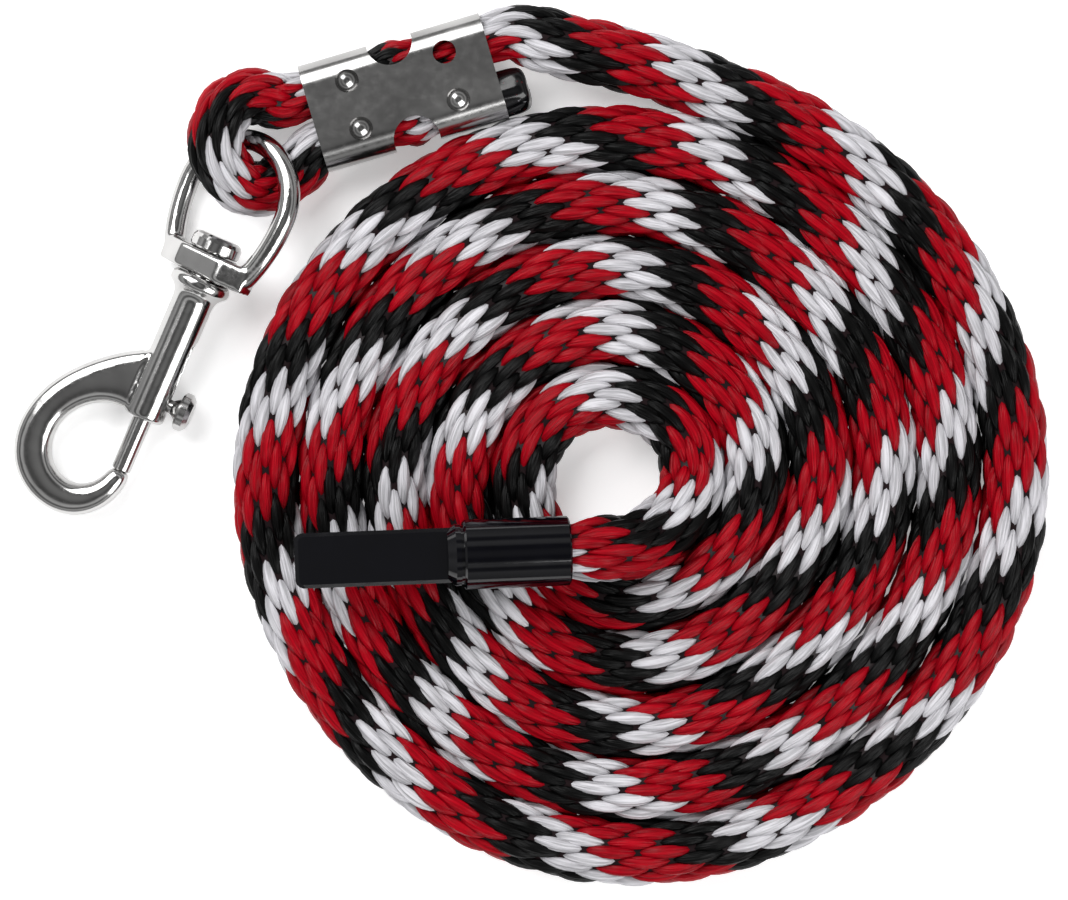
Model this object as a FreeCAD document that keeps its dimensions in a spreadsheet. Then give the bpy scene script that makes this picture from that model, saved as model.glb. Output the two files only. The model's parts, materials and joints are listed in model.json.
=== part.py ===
"""Lead rope: coiled solid-braid rope, steel rope clamp, swivelling bolt snap and end fitting.

Millimetres.  The rope lies on a surface at Z = 0, +Z is up, and the origin is under the middle of the
whole object.  Driving dimensions are in the spreadsheet "dims"; every sub-part reads them from there.
"""
import FreeCAD, Part
import Sketcher
import math
import os
from FreeCAD import Placement, Rotation, Vector

DOC = FreeCAD.newDocument("lead_rope")
OUT_DIR = "parts"

# ---------------------------------------------------------------- driving dimensions
DIMS = {
    # rope
    "rope_d": 17.0,             # free diameter of the braid
    "eye_d": 12.0,              # braid pulled tight where it folds round the ring
    "coil_height": 17.0,
    "coil_edge_round": 4.0,     # rounding of the coil's long edges
    "plug_d": 14.4,             # braid squeezed inside the end fitting
    "plug_length": 18.0,
    "leg_width": 12.4,          # one rope leg squeezed inside the clamp
    "leg_height": 12.9,
    "leg_round": 4.6,
    "bulge_r": 5.2,             # braid that swells out of the clamp's notches
    "tail_r": 5.5,              # melted end of the tail
    "tail_length": 5.4,
    "tail_round": 2.4,
    # rope clamp
    "clamp_length": 47.0,
    "clamp_width": 27.4,
    "clamp_height": 15.6,
    "clamp_wall": 1.35,
    "clamp_round": 6.0,
    "clamp_centre_z": 8.3,
    "clamp_notch_r": 5.8,
    "clamp_notch_in": 12.6,     # notch centre from the clamp's middle line
    "clamp_seam": 0.8,
    "clamp_hole_r": 2.9,
    "clamp_hole_x": 12.6,
    "clamp_hole_y": 6.2,
    "dimple_r": 3.4,
    "dimple_depth": 1.7,
    # end fitting
    "ferrule_r": 8.6,
    "ferrule_length": 26.2,
    "ferrule_bore_r": 7.2,
    "ferrule_bore_depth": 18.0,
    "collar_length": 4.0,
    "collar_r": 7.6,
    "tag_length": 37.3,
    "tag_width": 13.5,
    "tag_thickness": 4.6,
    "tag_corner": 2.2,
    "tag_bevel": 0.9,
    # snap body
    "barrel_r": 5.3,
    "barrel_length": 38.6,
    "flange_r": 7.8,
    "flange_thickness": 3.6,
    "chamber_r": 3.6,
    "lip_length": 1.6,
    "lip_bore_r": 2.58,
    "slot_width": 4.2,
    "slot_start": 3.3,
    "slot_end": 22.4,
    "hook_thickness": 7.6,
    "hook_round": 2.2,
    "hook_gap": 14.2,           # mouth of the barrel to the hook's tip
    # bolt, thumb knob, spring
    "bolt_r": 2.5,
    "piston_r": 3.52,
    "piston_start": 1.9,
    "piston_end": 9.4,
    "tip_gap": 0.1,
    "knob_u": 5.6,
    "knob_stem_r": 1.6,
    "knob_seat": 1.2,
    "knob_disc_r": 5.0,
    "knob_disc_in": 7.2,
    "knob_disc_out": 11.2,
    "spring_r": 2.85,
    "spring_wire_r": 0.45,
    "spring_turns": 6.0,
    "spring_end": 29.5,
    # swivel pin and ring
    "pin_seat_start": 30.0,
    "pin_neck_r": 3.35,
    "pin_head_r": 6.5,
    "pin_head_start": 45.4,
    "pin_head_end": 49.6,
    "ring_base_start": 38.8,
    "ring_base_end": 45.2,
    "ring_hole_r": 3.42,
    "ring_wire_r": 2.75,
    "ring_arc_r": 15.4,         # wire centre line round the top of the ring
    "ring_arc_u": 59.65,        # centre of that arc along the swivel axis
    "ring_foot_u": 42.0,
    "ring_foot_v": 11.4,
    "base_half_width": 13.3,
    "base_end_half": 2.6,
    "boss_half_width": 6.4,
    "boss_half": 5.4,
}

# spiral of the coil: radius against angle, clockwise from +Y, angle counted from the outside
COIL_CENTRE = Vector(20.4, -7.3, 0.0)
COIL_R0 = 100.46
COIL_STEP = 2.52                # radius lost per radian
COIL_WAVES = ((1, -1.81, 3.30), (2, 0.05, -0.31), (3, -0.40, -0.23))
COIL_START_DEG = 16.0
COIL_END_DEG = 1875.0

# rope clamp: centre and turn of its long axis
CLAMP_CENTRE = Vector(-31.2, 87.3, 0.0)
CLAMP_TURN = 16.5

# snap: middle of the barrel's mouth, yaw and pitch of its axis, roll of the ring about it
SNAP_MOUTH = Vector(-96.7, 5.9, 6.15)
SNAP_YAW = 66.4
SNAP_PITCH = 4.0
RING_ROLL = 28.5

# end fitting: middle of its rope-side face and direction of its axis
FITTING_FACE = Vector(10.1, -26.7, 25.6)
FITTING_YAW = 182.1
FITTING_PITCH = 5.0

# rope routes (hand-laid); the lead and the inner end also start or end on the coil
LEAD_ROUTE = ((6.5, 99.5, 8.5), (20.0, 96.7, 8.5), (34.5, 92.9, 8.5))
EYE_ROUTE = (
    (-67.4, 86.6, 10.5), (-74.1, 84.8, 13.9), (-77.7, 77.9, 16.7),
    (-77.4, 69.7, 15.8), (-70.0, 61.9, 8.3), (-58.8, 66.8, 5.9),
)
INNER_END_ROUTE = ((41.9, -10.3, 9.4), (36.2, -20.1, 14.2), (26.0, -25.9, 20.6))

# snap hook outline in the snap's own plane (along the axis, out from the axis)
HOOK_OUTER = (
    (16.7, 4.4), (13.6, 10.4), (9.6, 15.6), (4.6, 20.6), (-1.4, 24.7), (-8.0, 27.2), (-14.6, 27.7),
    (-20.6, 26.2), (-25.6, 22.6), (-29.0, 17.2), (-30.1, 10.9), (-28.4, 4.9), (-24.4, 0.5),
    (-19.6, -1.9),
)
HOOK_INNER = (
    (-17.6, 3.6), (-20.4, 5.9), (-21.9, 9.0), (-21.7, 12.5), (-19.6, 16.0), (-16.0, 18.3),
    (-11.2, 18.9), (-6.0, 17.3), (-2.4, 14.4), (-0.1, 11.0), (0.8, 7.6), (1.0, 4.4),
)
HOOK_TIP = ((-14.2, -2.45), (-14.2, 2.45))


# ---------------------------------------------------------------- spreadsheet and sizes
SHEET = DOC.addObject("Spreadsheet::Sheet", "dims")


def fill_sheet():
    """Write every driving dimension to the spreadsheet under its own alias."""
    for row, (alias, value) in enumerate(DIMS.items(), start=1):
        SHEET.set("A%d" % row, alias)
        SHEET.set("B%d" % row, str(value))
        SHEET.setAlias("B%d" % row, alias)
    DOC.recompute()


class Size:
    """A length together with the spreadsheet expression that drives it."""

    def __init__(self, value, text):
        self.value = value
        self.text = text

    def __add__(self, other):
        return Size(self.value + number(other), "(%s + %s)" % (self.text, words(other)))

    def __sub__(self, other):
        return Size(self.value - number(other), "(%s - %s)" % (self.text, words(other)))

    def __mul__(self, factor):
        return Size(self.value * factor, "(%s * %s)" % (self.text, factor))

    def __neg__(self):
        return Size(-self.value, "(-1 * %s)" % self.text)


def number(size):
    """The plain number of a Size or a float."""
    return size.value if isinstance(size, Size) else float(size)


def words(size):
    """The expression text of a Size or a float."""
    return size.text if isinstance(size, Size) else str(size)


def dim(alias):
    """The spreadsheet cell with this alias, as a Size."""
    return Size(float(SHEET.get(alias)), "dims.%s" % alias)


def bind(thing, prop, size):
    """Let the spreadsheet drive one property."""
    thing.setExpression(prop, words(size))


# ---------------------------------------------------------------- placements
def turned(base, yaw, pitch=0.0, roll=0.0):
    """Placement with local X at this yaw, raised by pitch, then rolled about itself."""
    spin = Rotation(Vector(0, 0, 1), yaw)
    spin = spin.multiply(Rotation(Vector(0, 1, 0), -pitch))
    spin = spin.multiply(Rotation(Vector(1, 0, 0), roll))
    return Placement(base, spin)


def clamp_place():
    """Placement of the clamp: X along it, origin in its middle."""
    centre = CLAMP_CENTRE + Vector(0, 0, DIMS["clamp_centre_z"])
    return turned(centre, CLAMP_TURN)


SNAP_PLACE = turned(SNAP_MOUTH, SNAP_YAW, SNAP_PITCH)
RING_PLACE = turned(SNAP_MOUTH, SNAP_YAW, SNAP_PITCH, -RING_ROLL)
FITTING_PLACE = turned(FITTING_FACE, FITTING_YAW, FITTING_PITCH)


# ---------------------------------------------------------------- bodies, sketches, features
def new_body(label, place):
    """A PartDesign body with its own label and placement."""
    body = DOC.addObject("PartDesign::Body", label)
    body.Label = label
    body.Placement = place
    return body


def new_sketch(body, name, role, lift=0.0):
    """A sketch on one of the body's own origin planes, lifted along the plane's normal."""
    sketch = body.newObject("Sketcher::SketchObject", name)
    plane = next(f for f in body.Origin.OriginFeatures if f.Role == role)
    sketch.AttachmentSupport = (plane, [""])
    sketch.MapMode = "FlatFace"
    sketch.AttachmentOffset = Placement(Vector(0, 0, number(lift)), Rotation())
    if isinstance(lift, Size):
        bind(sketch, "AttachmentOffset.Base.z", lift)
    return sketch


def pin_point(sketch, geo, pos, x, y):
    """Fix one point of a sketch at (x, y); Sizes stay bound to the spreadsheet."""
    axes = ((x, "DistanceX", -2), (y, "DistanceY", -1))
    for size, kind, axis in axes:
        if abs(number(size)) < 1e-9:
            sketch.addConstraint(Sketcher.Constraint("PointOnObject", geo, pos, axis))
            continue
        rule = Sketcher.Constraint(kind, -1, 1, geo, pos, number(size))
        index = sketch.addConstraint(rule)
        if isinstance(size, Size):
            bind(sketch, "Constraints[%d]" % index, size)


def draw_polygon(sketch, corners):
    """A closed polygon whose corners are each fixed in x and y."""
    points = [Vector(number(x), number(y), 0) for x, y in corners]
    count = len(points)
    lines = [Part.LineSegment(points[i], points[(i + 1) % count]) for i in range(count)]
    sketch.addGeometry(lines, False)
    for i in range(count):
        sketch.addConstraint(Sketcher.Constraint("Coincident", i, 2, (i + 1) % count, 1))
    for i, (x, y) in enumerate(corners):
        pin_point(sketch, i, 1, x, y)


def draw_circle(sketch, x, y, radius):
    """A circle fixed at (x, y)."""
    centre = Vector(number(x), number(y), 0)
    geo = sketch.addGeometry(Part.Circle(centre, Vector(0, 0, 1), number(radius)), False)
    index = sketch.addConstraint(Sketcher.Constraint("Radius", geo, number(radius)))
    bind(sketch, "Constraints[%d]" % index, radius)
    pin_point(sketch, geo, 3, x, y)


def draw_rounded_box(sketch, x0, x1, y0, y1, radius):
    """A rectangle from (x0, y0) to (x1, y1) with round corners."""
    r = number(radius)
    corners = (
        (x1 - radius, y1 - radius, 0.0), (x0 + radius, y1 - radius, 0.5),
        (x0 + radius, y0 + radius, 1.0), (x1 - radius, y0 + radius, 1.5),
    )
    arcs = []
    for x, y, start in corners:
        circle = Part.Circle(Vector(number(x), number(y), 0), Vector(0, 0, 1), r)
        arc = Part.ArcOfCircle(circle, start * math.pi, (start + 0.5) * math.pi)
        arcs.append(sketch.addGeometry(arc, False))
        index = sketch.addConstraint(Sketcher.Constraint("Radius", arcs[-1], r))
        bind(sketch, "Constraints[%d]" % index, radius)
        pin_point(sketch, arcs[-1], 3, x, y)
    for i in range(4):
        here = sketch.getPoint(arcs[i], 2)
        there = sketch.getPoint(arcs[(i + 1) % 4], 1)
        line = sketch.addGeometry(Part.LineSegment(here, there), False)
        sketch.addConstraint(Sketcher.Constraint("Tangent", arcs[i], 2, line, 1))
        sketch.addConstraint(Sketcher.Constraint("Tangent", line, 2, arcs[(i + 1) % 4], 1))


def volume_of(body):
    """Volume of the body as it stands."""
    DOC.recompute()
    return body.Shape.Volume


def revolve(body, name, corners):
    """Revolve an (x, radius) profile about the body's X axis."""
    sketch = new_sketch(body, name + "_profile", "XY_Plane")
    draw_polygon(sketch, corners)
    turn = body.newObject("PartDesign::Revolution", name)
    turn.Profile = sketch
    turn.ReferenceAxis = (sketch, ["H_Axis"])
    turn.Angle = 360.0
    DOC.recompute()
    return turn


def bore_out(body, name, corners):
    """Cut an (x, radius) profile, revolved about the body's X axis, out of the body."""
    before = volume_of(body)
    sketch = new_sketch(body, name + "_profile", "XY_Plane")
    draw_polygon(sketch, corners)
    groove = body.newObject("PartDesign::Groove", name)
    groove.Profile = sketch
    groove.ReferenceAxis = (sketch, ["H_Axis"])
    groove.Angle = 360.0
    if volume_of(body) >= before:
        raise RuntimeError(name + " cuts nothing")
    return groove


def pad(body, name, sketch, length, symmetric=False):
    """Pad a sketch along its normal."""
    feature = body.newObject("PartDesign::Pad", name)
    feature.Profile = sketch
    bind(feature, "Length", length)
    feature.Midplane = symmetric
    DOC.recompute()
    return feature


def pocket(body, name, sketch, length, upward=False, symmetric=False):
    """Cut a sketch out of the body, below its plane, above it or both ways."""
    before = volume_of(body)
    feature = body.newObject("PartDesign::Pocket", name)
    feature.Profile = sketch
    bind(feature, "Length", length)
    feature.Reversed = upward
    feature.Midplane = symmetric
    if volume_of(body) >= before:
        raise RuntimeError(name + " cuts nothing")
    return feature


def round_edges(body, name, radius, wanted, kind="PartDesign::Fillet"):
    """Fillet or chamfer the edges of the body's last feature that pass the test."""
    DOC.recompute()
    last = body.Tip
    edges = last.Shape.Edges
    names = ["Edge%d" % (i + 1) for i, edge in enumerate(edges) if wanted(edge)]
    if not names:
        raise RuntimeError(name + " finds no edge")
    feature = body.newObject(kind, name)
    feature.Base = (last, names)
    bind(feature, "Radius" if kind.endswith("Fillet") else "Size", radius)
    DOC.recompute()
    return feature


def is_ring(edge, x, radius):
    """Is the edge a circle of this radius about the local X axis at this x?"""
    curve = edge.Curve
    if not isinstance(curve, Part.Circle) or abs(curve.Radius - number(radius)) > 1e-3:
        return False
    return abs(edge.CenterOfMass.x - number(x)) < 1e-3


# ---------------------------------------------------------------- rope routes
def bend_radius(before, corner, after):
    """Radius of the arc that rounds one corner of a route."""
    run_in = corner - before
    run_out = after - corner
    turn = run_in.getAngle(run_out)
    return 0.45 * min(run_in.Length, run_out.Length) / math.tan(turn / 2)


def route_wire(label, route):
    """One wire of straight runs joined by tangent arcs; prints its bend radii."""
    edges = []
    radii = []
    start = route[0]
    for before, corner, after in zip(route, route[1:], route[2:]):
        back = (before - corner).normalize()
        ahead = (after - corner).normalize()
        reach = 0.45 * min((before - corner).Length, (after - corner).Length)
        radius = bend_radius(before, corner, after)
        entry = corner + back * reach
        leave = corner + ahead * reach
        half = back.getAngle(ahead) / 2
        middle = corner + (back + ahead).normalize() * (radius / math.sin(half) - radius)
        edges.append(Part.LineSegment(start, entry).toShape())
        edges.append(Part.Arc(entry, middle, leave).toShape())
        radii.append(radius)
        start = leave
    edges.append(Part.LineSegment(start, route[-1]).toShape())
    print(label, "bend radii mm:", ", ".join("%.1f" % r for r in radii))
    return Part.Wire(edges)


def make_tube(label, route, alias):
    """A round tube swept along a route."""
    wire = route_wire(label, route)
    spine = DOC.addObject("Part::Feature", label + "_route")
    spine.Shape = wire
    ring = DOC.addObject("Part::Circle", label + "_section")
    bind(ring, "Radius", dim(alias) * 0.5)
    ring.Placement = Placement(route[0], Rotation(Vector(0, 0, 1), route[1] - route[0]))
    tube = DOC.addObject("Part::Sweep", label)
    tube.Label = label
    tube.Sections = [ring]
    tube.Spine = (spine, ["Edge%d" % (i + 1) for i in range(len(wire.Edges))])
    tube.Solid = True
    tube.Frenet = False
    DOC.recompute()
    ideal = math.pi * number(dim(alias)) ** 2 / 4 * wire.Length
    print(label, "volume over section x length: %.4f" % (tube.Shape.Volume / ideal))
    return tube


def coil_point(degrees, side=0.0):
    """Point of the coil's centre line, or beside it by `side` (outwards is positive)."""
    angle = math.radians(degrees)
    radius = COIL_R0 - COIL_STEP * angle
    slope = -COIL_STEP
    for k, cosine, sine in COIL_WAVES:
        radius += cosine * math.cos(k * angle) + sine * math.sin(k * angle)
        slope += k * (sine * math.cos(k * angle) - cosine * math.sin(k * angle))
    out = Vector(math.sin(angle), math.cos(angle), 0)
    along = Vector(math.cos(angle), -math.sin(angle), 0) * radius + out * slope
    along.normalize()
    return COIL_CENTRE + out * radius + Vector(-along.y, along.x, 0) * side


def coil_edge(first_deg, side):
    """One turn of the coil's outer or inner edge, closed by the face a rope end meets."""
    steps = 36
    turn = [coil_point(first_deg + 360.0 * i / steps, side) for i in range(steps + 1)]
    curve = Part.BSplineCurve()
    curve.interpolate(turn)
    return Part.Wire([curve.toShape(), Part.LineSegment(turn[-1], turn[0]).toShape()])


def make_coil():
    """Outer shape of the flat spiral of rope, with the open middle."""
    half = DIMS["rope_d"] / 2
    outer = coil_edge(COIL_START_DEG, half)
    inner = coil_edge(COIL_END_DEG - 360.0, -half)
    outline = DOC.addObject("Part::Feature", "rope_coil_outline")
    outline.Shape = Part.Face(outer).cut(Part.Face(inner)).Faces[0]
    block = DOC.addObject("Part::Extrusion", "rope_coil_block")
    block.Base = outline
    block.DirMode = "Custom"
    block.Dir = Vector(0, 0, 1)
    bind(block, "LengthFwd", dim("coil_height"))
    block.Solid = True
    DOC.recompute()
    long_edges = [i + 1 for i, e in enumerate(block.Shape.Edges) if e.Length > 60]
    coil = DOC.addObject("Part::Fillet", "rope_coil")
    coil.Label = "rope_coil"
    coil.Base = block
    round_r = DIMS["coil_edge_round"]
    coil.Edges = [(i, round_r, round_r) for i in long_edges]
    DOC.recompute()
    return coil


def by_clamp(*places):
    """Route points given in the clamp's own frame: on its end face, then out of it."""
    return [clamp_place().multVec(Vector(*p)) for p in places]


def rope_stretches():
    """The free stretches of rope: lead, folded eye and rising inner end."""
    lead = [Vector(*p) for p in LEAD_ROUTE]
    lead = by_clamp((23.5, 6.9, 0.2), (31.5, 6.9, 0.2)) + lead
    lead.append(coil_point(COIL_START_DEG) + Vector(0, 0, 8.5))
    eye = [Vector(*p) for p in EYE_ROUTE]
    eye = by_clamp((-23.5, 6.3, 0.0), (-29.8, 6.3, 0.0)) + eye
    eye += by_clamp((-26.8, -7.6, -0.3), (-23.5, -6.3, 0.0))
    rise = [Vector(*p) for p in INNER_END_ROUTE]
    rise.insert(0, coil_point(COIL_END_DEG) + Vector(0, 0, 8.5))
    rise.append(FITTING_PLACE.multVec(Vector(-8.0, 0, 0)))
    rise.append(FITTING_FACE)
    return [
        make_tube("rope_lead", lead, "rope_d"),
        make_tube("rope_eye", eye, "eye_d"),
        make_tube("rope_inner_end", rise, "rope_d"),
    ]


def make_leg(label, side):
    """One rope leg squeezed inside the clamp, swelling out through its notch."""
    body = new_body(label, clamp_place())
    half_length = dim("clamp_length") * 0.5
    sketch = new_sketch(body, label + "_section", "YZ_Plane")
    near = 0.0
    far = dim("leg_width") * side
    low, high = (near, far) if side > 0 else (far, near)
    half = dim("leg_height") * 0.5
    draw_rounded_box(sketch, as_size(low), as_size(high), -half, half, dim("leg_round"))
    pad(body, label + "_pad", sketch, half_length * 2, symmetric=True)
    ball = body.newObject("PartDesign::AdditiveSphere", label + "_swell")
    bind(ball, "Radius", dim("bulge_r"))
    ball.Placement = Placement(Vector(0, side * 8.9, 0), Rotation())
    DOC.recompute()
    return body


def as_size(value):
    """A plain number as a Size, so that sums with other Sizes work."""
    return value if isinstance(value, Size) else Size(float(value), str(value))


def make_tail_end():
    """Cut and melted end of the rope's tail, just outside the clamp."""
    body = new_body("rope_tail_end", clamp_place())
    start = dim("clamp_length") * 0.5
    sketch = new_sketch(body, "tail_section", "YZ_Plane", start)
    draw_circle(sketch, -7.3, 0.0, dim("tail_r"))
    pad(body, "tail_pad", sketch, dim("tail_length"))
    end = start + dim("tail_length")
    round_edges(body, "tail_melt", dim("tail_round"), lambda e: is_ring(e, end, dim("tail_r")))
    return body


def make_rope_clamp():
    """Sheet-steel clamp folded round both rope legs, its seam underneath."""
    body = new_body("rope_clamp", clamp_place())
    half_w = dim("clamp_width") * 0.5
    half_h = dim("clamp_height") * 0.5
    wall = dim("clamp_wall")
    sketch = new_sketch(body, "clamp_section", "YZ_Plane")
    round_r = dim("clamp_round")
    draw_rounded_box(sketch, -half_w, half_w, -half_h, half_h, round_r)
    inner_w = half_w - wall
    inner_h = half_h - wall
    draw_rounded_box(sketch, -inner_w, inner_w, -inner_h, inner_h, round_r - wall)
    pad(body, "clamp_sleeve", sketch, dim("clamp_length"), symmetric=True)
    cut_clamp_openings(body, half_h)
    press_clamp_dimples(body, half_h, wall)
    return body


def cut_clamp_openings(body, half_h):
    """Seam below, a notch in each long side, and the open hole in the top sheet."""
    seam = new_sketch(body, "clamp_seam_line", "XY_Plane")
    half_l = dim("clamp_length") * 0.5
    half_s = dim("clamp_seam") * 0.5
    corners = ((-half_l, -half_s), (half_l, -half_s), (half_l, half_s), (-half_l, half_s))
    draw_polygon(seam, corners)
    pocket(body, "clamp_seam_cut", seam, half_h)
    notches = new_sketch(body, "clamp_notch_rounds", "XY_Plane")
    for side in (-1, 1):
        draw_circle(notches, 0.0, dim("clamp_notch_in") * side, dim("clamp_notch_r"))
    pocket(body, "clamp_notches", notches, half_h * 2, symmetric=True)
    hole = new_sketch(body, "clamp_hole_round", "XY_Plane")
    draw_circle(hole, dim("clamp_hole_x"), dim("clamp_hole_y"), dim("clamp_hole_r"))
    pocket(body, "clamp_hole", hole, half_h, upward=True)


def press_clamp_dimples(body, half_h, wall):
    """Three dimples pressed through the top sheet to bite the rope."""
    x = DIMS["clamp_hole_x"]
    y = DIMS["clamp_hole_y"]
    top = number(half_h)
    depth = DIMS["dimple_depth"]
    for i, (dx, dy) in enumerate(((-x, y), (-x, -y), (x, -y))):
        cup = body.newObject("PartDesign::AdditiveCone", "dimple_cup_%d" % i)
        bind(cup, "Radius2", dim("dimple_r"))
        bind(cup, "Radius1", dim("dimple_r") * 0.5)
        bind(cup, "Height", dim("dimple_depth"))
        cup.Placement = Placement(Vector(dx, dy, top - number(wall) - depth + 0.3), Rotation())
        bowl = body.newObject("PartDesign::SubtractiveSphere", "dimple_bowl_%d" % i)
        bind(bowl, "Radius", dim("dimple_r") - 0.2)
        bowl.Placement = Placement(Vector(dx, dy, top + 1.3), Rotation())
        DOC.recompute()


def make_end_fitting():
    """Gloss black end fitting: barrel over the rope's end, stepped collar and flat tag."""
    body = new_body("end_fitting", FITTING_PLACE)
    barrel = dim("ferrule_length")
    collar = barrel + dim("collar_length")
    add_tag(body, collar)
    outer = dim("ferrule_r")
    step = dim("collar_r")
    bore = dim("ferrule_bore_r")
    depth = dim("ferrule_bore_depth")
    corners = (
        (0.0, bore), (0.0, outer - 0.4), (0.4, outer), (barrel - 0.5, outer),
        (barrel, outer - 0.5), (barrel, step - 0.3), (barrel + 0.7, step - 0.3),
        (barrel + 0.7, step), (collar - 2.0, step), (collar, step - 1.4), (collar, 0.0),
        (depth, 0.0), (depth, bore),
    )
    revolve(body, "fitting_barrel", corners)
    return body


def add_tag(body, collar):
    """Flat tag with bevelled rims, rooted in the collar."""
    sketch = new_sketch(body, "tag_outline", "XY_Plane")
    half = dim("tag_width") * 0.5
    end = collar + dim("tag_length")
    draw_rounded_box(sketch, collar - 3.0, end, -half, half, dim("tag_corner"))
    pad(body, "tag", sketch, dim("tag_thickness"), symmetric=True)
    top = DIMS["tag_thickness"] / 2

    def on_rim(edge):
        box = edge.BoundBox
        return box.ZLength < 1e-4 and abs(abs(box.ZMin) - top) < 1e-4

    round_edges(body, "tag_bevels", dim("tag_bevel"), on_rim, "PartDesign::Chamfer")


def make_end_plug():
    """Rope end squeezed into the fitting's bore."""
    body = new_body("rope_end_plug", FITTING_PLACE)
    sketch = new_sketch(body, "plug_section", "YZ_Plane")
    draw_circle(sketch, 0.0, 0.0, dim("plug_d") * 0.5)
    pad(body, "plug", sketch, dim("plug_length"))
    return body


# ---------------------------------------------------------------- bolt snap
def spline(sketch, points):
    """A smooth curve through points, drawn in a sketch."""
    curve = Part.BSplineCurve()
    curve.interpolate([Vector(x, y, 0) for x, y in points])
    sketch.addGeometry(curve, False)


def make_snap_body():
    """Barrel with flange and cast hook; bored for bolt, spring and pin, slotted for the knob."""
    body = new_body("snap_body", SNAP_PLACE)
    sketch = new_sketch(body, "hook_outline", "XY_Plane")
    outer = HOOK_OUTER + (HOOK_TIP[0],)
    inner = (HOOK_TIP[1],) + HOOK_INNER
    spline(sketch, outer)
    spline(sketch, inner)
    for (x0, y0), (x1, y1) in ((outer[-1], inner[0]), (inner[-1], outer[0])):
        sketch.addGeometry(Part.LineSegment(Vector(x0, y0, 0), Vector(x1, y1, 0)), False)
    pad(body, "hook", sketch, dim("hook_thickness"), symmetric=True)
    round_edges(body, "hook_rounding", dim("hook_round"), lambda e: e.Length > 30)
    add_barrel(body)
    bore_barrel(body)
    return body


def add_barrel(body):
    """Barrel and mushroom flange."""
    radius = dim("barrel_r")
    length = dim("barrel_length")
    flange = dim("flange_r")
    shelf = length - dim("flange_thickness")
    corners = (
        (0.0, 0.0), (0.0, radius - 0.6), (0.6, radius), (shelf - 2.6, radius),
        (shelf - 1.1, radius + 0.5), (shelf, flange - 0.9), (shelf + 0.6, flange),
        (length - 0.9, flange), (length, flange - 0.9), (length, 0.0),
    )
    revolve(body, "barrel", corners)


def bore_barrel(body):
    """Bolt bore, spring chamber and the knob's slot."""
    lip = dim("lip_length")
    small = dim("lip_bore_r")
    chamber = dim("chamber_r")
    length = dim("barrel_length")
    corners = (
        (-0.5, 0.0), (-0.5, small), (lip, small), (lip, chamber), (length + 0.5, chamber),
        (length + 0.5, 0.0),
    )
    bore_out(body, "barrel_bore", corners)
    slot = new_sketch(body, "slot_outline", "XZ_Plane")
    half = dim("slot_width") * 0.5
    ends = (dim("slot_start"), dim("slot_end"))
    draw_rounded_box(slot, ends[0], ends[1], -half, half, half - 0.01)
    pocket(body, "slot", slot, dim("flange_r"), upward=True)


def make_snap_bolt():
    """Bolt: slim rod across the hook's mouth and the piston that carries the knob."""
    body = new_body("snap_bolt", SNAP_PLACE)
    tip = -(dim("hook_gap") - dim("tip_gap"))
    rod = dim("bolt_r")
    piston = dim("piston_r")
    start = dim("piston_start")
    end = dim("piston_end")
    corners = (
        (tip, 0.0), (tip, rod - 0.3), (tip + 0.3, rod), (start, rod), (start, piston - 0.2),
        (start + 0.2, piston), (end - 0.3, piston), (end, piston - 0.3), (end, 0.0),
    )
    revolve(body, "bolt", corners)
    seat = new_sketch(body, "knob_seat_round", "XZ_Plane", dim("knob_seat"))
    draw_circle(seat, dim("knob_u"), 0.0, dim("knob_stem_r"))
    pocket(body, "knob_hole", seat, dim("piston_r"), upward=True)
    return body


def make_thumb_knob():
    """Thumb knob: stem fixed in the piston, round button outside the slot."""
    spin = Rotation(Vector(0, 0, 1), -90)
    place = SNAP_PLACE.multiply(Placement(Vector(DIMS["knob_u"], 0, 0), spin))
    body = new_body("thumb_knob", place)
    stem = dim("knob_stem_r")
    disc = dim("knob_disc_r")
    inner = dim("knob_disc_in")
    outer = dim("knob_disc_out")
    corners = (
        (dim("knob_seat"), 0.0), (dim("knob_seat"), stem), (dim("piston_r"), stem),
        (dim("piston_r") + 2.2, stem + 0.2), (inner, stem + 1.4), (inner + 0.3, disc - 0.5),
        (inner + 0.9, disc), (outer - 1.5, disc), (outer - 0.4, disc - 1.2), (outer, disc - 2.6),
        (outer, 0.0),
    )
    revolve(body, "knob", corners)
    return body


def make_bolt_spring():
    """Coil spring between the piston and the swivel pin."""
    start = number(dim("piston_end")) + 0.4
    length = DIMS["spring_end"] - start
    helix = DOC.addObject("Part::Helix", "bolt_spring_helix")
    helix.Pitch = length / DIMS["spring_turns"]
    helix.Height = length
    bind(helix, "Radius", dim("spring_r"))
    ring = DOC.addObject("Part::Circle", "bolt_spring_wire")
    bind(ring, "Radius", dim("spring_wire_r"))
    ring.Placement = Placement(Vector(DIMS["spring_r"], 0, 0), Rotation(Vector(1, 0, 0), 90))
    spring = DOC.addObject("Part::Sweep", "bolt_spring")
    spring.Label = "bolt_spring"
    spring.Sections = [ring]
    spring.Spine = (helix, ["Edge%d" % (i + 1) for i in range(len(helix.Shape.Edges))])
    spring.Solid = True
    spring.Frenet = True
    along_x = Placement(Vector(start, 0, 0), Rotation(Vector(0, 1, 0), 90))
    spring.Placement = SNAP_PLACE.multiply(along_x)
    DOC.recompute()
    return spring


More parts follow.
